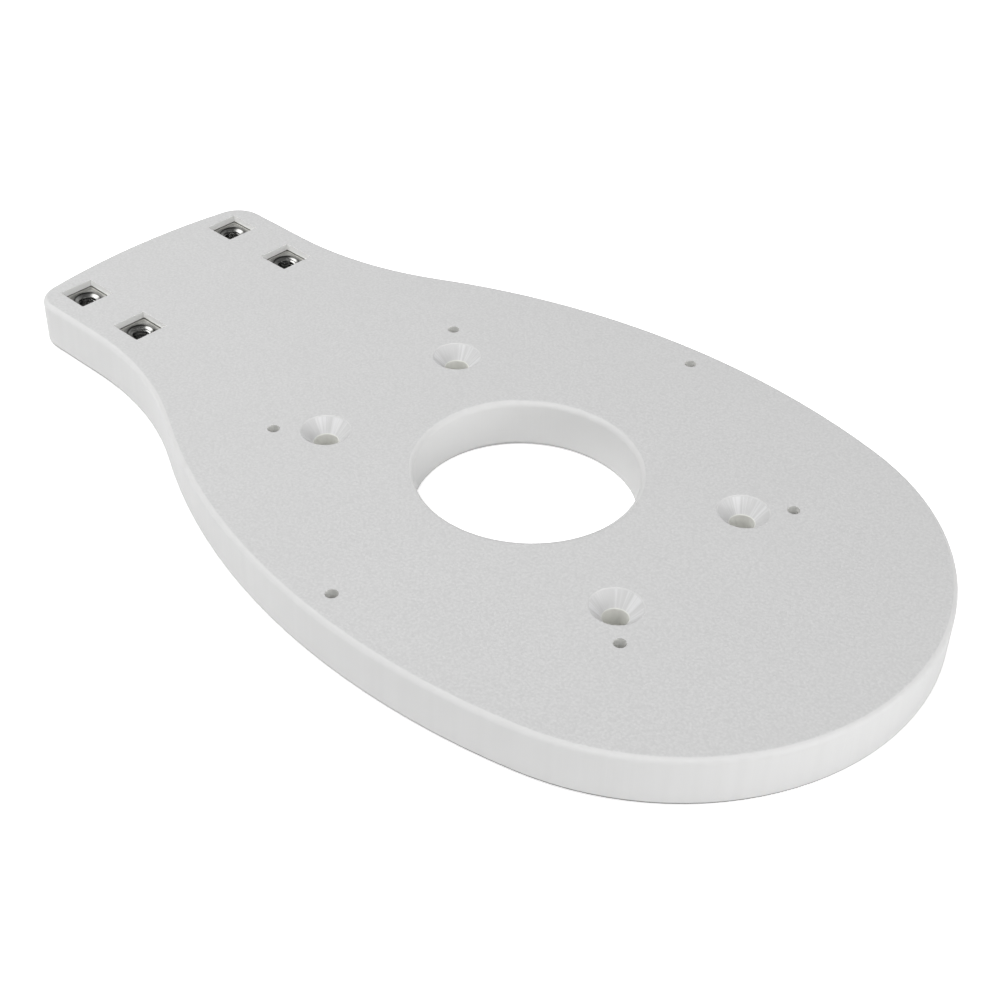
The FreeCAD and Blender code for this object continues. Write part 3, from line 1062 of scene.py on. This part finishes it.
def remembered(mesh, name, value):
    """The mesh with a field kept on its points under a name."""
    node = add_node(nut_tree, "GeometryNodeStoreNamedAttribute", data_type="FLOAT", domain="POINT")
    feed(node.inputs["Geometry"], mesh)
    feed(node.inputs["Name"], name)
    feed(node.inputs["Value"], value)
    return output(node, "Geometry")


print("attributes are kept on points")

# %% [markdown]
# ### The tapped hole
#
# Each row climbs by one pitch in a turn. Rows that would lie outside the nut
# are pressed flat onto its faces. How far a point is through one pitch gives
# the groove: a flat root with a flank of 30 degrees on each side. The lead-in
# cone is a radius too, and the larger of the two radii is what the tools
# leave.

# %% The thread and the cones
WHOLE_TURNS = 8.0  # keeps the phase above zero

thickest = max(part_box(name)[1].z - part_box(name)[0].z for name in frame["nodes"] if "nut" in name)
thread_rows = math.ceil((thickest / NUT_SIZES["Pitch"] + 1) * ROWS_PER_PITCH)
mesh, angle, row = wrapped_grid(thread_rows)
turns = angle / math.tau
climb = (row / ROWS_PER_PITCH - 1.0 + turns) * given["Pitch"]
height = climb.limited(0.0, given["Thickness"])
phase = calculate("FRACT", height / given["Pitch"] - turns + given["Thread Start"] + WHOLE_TURNS)
flank = given["Thread Depth"] * FLANK_SLOPE / given["Pitch"]
groove = ((ROOT_FLAT / 2 + flank - abs(phase - 0.5)) / flank).limited(0.0, 1.0)
thread_radius = given["Crest Radius"] + groove * given["Thread Depth"]
cone_slope = (given["Mouth Radius"] - given["Crest Radius"]) / given["Mouth Depth"]
from_face = calculate("MINIMUM", height, given["Thickness"] - height)
cone_radius = given["Mouth Radius"] - from_face * cone_slope
wall_radius = calculate("MAXIMUM", thread_radius, cone_radius)
wall = remembered(mesh, "cut_wall", 1.0)
wall = remembered(wall, "along_profile", wall_radius + height)
wall = remembered(wall, "from_mouth", from_face)
wall = shaped(wall, angle, wall_radius, height)
print("thread rows:", thread_rows)

# %% [markdown]
# ### The outside
#
# The second grid runs from the upper mouth over the cheek, round the edge,
# down the side, round the lower edge and back in to the lower mouth. Only its
# heights and insets are worked out here, row by row.

# %% Heights of the outside
outside_rows = 2 * EDGE_STEPS + 3
mesh, angle, row = wrapped_grid(outside_rows)
quarter = math.pi / 2
top_edge = ((row - 1.0) / EDGE_STEPS).limited(0.0, 1.0) * quarter
bottom_edge = ((row - 2.0 - EDGE_STEPS) / EDGE_STEPS).limited(0.0, 1.0) * quarter
down_side = (row - 1.0 - EDGE_STEPS).limited(0.0, 1.0)
edge_round = given["Edge Round"]
inset = edge_round * (2.0 - calculate("SINE", top_edge) - calculate("COSINE", bottom_edge))
height = (
    given["Thickness"]
    - edge_round * (1.0 - calculate("COSINE", top_edge))
    - (given["Thickness"] - edge_round * 2.0) * down_side
    - edge_round * calculate("SINE", bottom_edge)
)
print("rows round each edge:", EDGE_STEPS)

# %% [markdown]
# A square with round corners could be drawn as a curve and filled, but a grid
# that is wrapped by angle needs one number instead: how far the outline is
# from the axis at each angle. On a flat side it is the half width over the
# cosine. Past the end of the flat it is where the ray meets the corner's
# circle.

# %% The square with its round corners
cosine, sine = abs(calculate("COSINE", angle)), abs(calculate("SINE", angle))
longer = calculate("MAXIMUM", cosine, sine)
shorter = calculate("MINIMUM", cosine, sine)
half_width = given["Width"] * 0.5 - inset
corner = given["Corner Radius"] - inset
core = half_width - corner
flat_radius = half_width / longer
to_corner = core * (longer - shorter)
under_root = calculate("MAXIMUM", corner * corner - to_corner * to_corner, 0.0)
corner_radius = core * (longer + shorter) + calculate("SQRT", under_root)
past_flat = calculate("GREATER_THAN", flat_radius * shorter, core)
square_radius = flat_radius + (corner_radius - flat_radius) * past_flat

# the first and last rows lie on the mouths of the hole
at_mouth = calculate("GREATER_THAN", abs(row - outside_rows / 2), outside_rows / 2 - 0.5)
radius = square_radius + (given["Mouth Radius"] - square_radius) * at_mouth
outside = remembered(mesh, "cut_wall", 0.0)
outside = remembered(outside, "along_profile", 0.0)
outside = remembered(outside, "from_mouth", 0.0)
outside = shaped(outside, angle, radius, height)
print("outside rows:", outside_rows)

# %% [markdown]
# ### One closed skin
#
# The two grids share the points at both mouths and where each one closes, so
# Merge by Distance makes one skin of them. Both were wrapped the same way
# round, so one flip turns every face outwards. Smooth shading stops at sharp
# edges, or the thread would look like rubber.

# %% Join the two skins and close the tree
joined = nut_tree.nodes.new("GeometryNodeJoinGeometry")
nut_tree.links.new(outside.socket, joined.inputs[0])
nut_tree.links.new(wall.socket, joined.inputs[0])
outwards = add_node(nut_tree, "GeometryNodeFlipFaces", {"Mesh": output(joined, "Geometry")})
merged = add_node(
    nut_tree,
    "GeometryNodeMergeByDistance",
    {"Geometry": Field(outwards.outputs[0]), "Distance": CLOSE},
)
edge_angle = output(add_node(nut_tree, "GeometryNodeInputMeshEdgeAngle"), "Unsigned Angle")
sharp = calculate("GREATER_THAN", edge_angle, SHARP_ANGLE)
smooth_faces = add_node(
    nut_tree,
    "GeometryNodeSetShadeSmooth",
    {"Geometry": output(merged, "Geometry"), "Shade Smooth": True},
)
crisp_edges = add_node(
    nut_tree,
    "GeometryNodeSetShadeSmooth",
    {"Geometry": output(smooth_faces, "Geometry"), "Selection": sharp, "Shade Smooth": False},
    domain="EDGE",
)
realized = add_node(
    nut_tree,
    "GeometryNodeRealizeInstances",
    {"Geometry": output(crisp_edges, "Geometry")},
)
finished = add_node(
    nut_tree,
    "GeometryNodeSetMaterial",
    {"Geometry": output(realized, "Geometry"), "Material": steel},
)
end = nut_tree.nodes.new("NodeGroupOutput")
nut_tree.links.new(finished.outputs[0], end.inputs[0])
arrange(nut_tree)
print("nut tree:", len(nut_tree.nodes), "nodes")

# %% [markdown]
# ## One nut in each pocket
#
# The frame has a plain nut in every pocket, so each new nut takes its seat,
# width and thickness from the box of the one it stands for. The modifier is
# turned into a plain mesh, so that the piece is ordinary geometry by the time
# it is attached to the plate's body.

# %% How one nut is made


def make_nut(node_name, thread_start):
    """A threaded nut in the place of one of the frame's plain nuts."""
    low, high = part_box(node_name)
    name = node_name.replace("tail_nut", "threaded_nut")
    carrier = bpy.data.objects.new("carrier", bpy.data.meshes.new("carrier"))
    bpy.context.scene.collection.objects.link(carrier)
    modifier = carrier.modifiers.new("square_nut", "NODES")
    modifier.node_group = nut_tree
    sizes = {
        **NUT_SIZES,
        "Seat": ((low.x + high.x) / 2, (low.y + high.y) / 2, low.z),
        "Width": high.x - low.x,
        "Thickness": high.z - low.z,
        "Thread Start": thread_start,
    }
    for label, value in sizes.items():
        modifier[nut_inputs[label]] = value
    evaluated = carrier.evaluated_get(bpy.context.evaluated_depsgraph_get())
    mesh = bpy.data.meshes.new_from_object(evaluated)
    bpy.data.objects.remove(carrier)
    # the grids bring an empty slot, so the one material is put first
    mesh.materials.clear()
    mesh.materials.append(steel)
    mesh.polygons.foreach_set("material_index", [0] * len(mesh.polygons))
    mesh.name = name
    nut = bpy.data.objects.new(name, mesh)
    bpy.context.scene.collection.objects.link(nut)
    metal_parts.objects.link(nut)
    return nut


print("one nut takes", len(nut_inputs), "sizes")

# %% [markdown]
# Nobody lines nuts up by their threads, so the thread starts at a different
# angle in each. Each nut rides on the plate's body and stands for the frame's
# plain nut, which stays behind for collision, hidden.

# %% Make the four nuts
THREAD_STARTS = {
    "tail_nut_outer_left": 0.10,
    "tail_nut_outer_right": 0.35,
    "tail_nut_inner_left": 0.60,
    "tail_nut_inner_right": 0.85,
}

for node_name, thread_start in THREAD_STARTS.items():
    nut = make_nut(node_name, thread_start)
    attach(nut, "root")
    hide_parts(node_name)
    print(nut.name, len(nut.data.polygons), "faces")
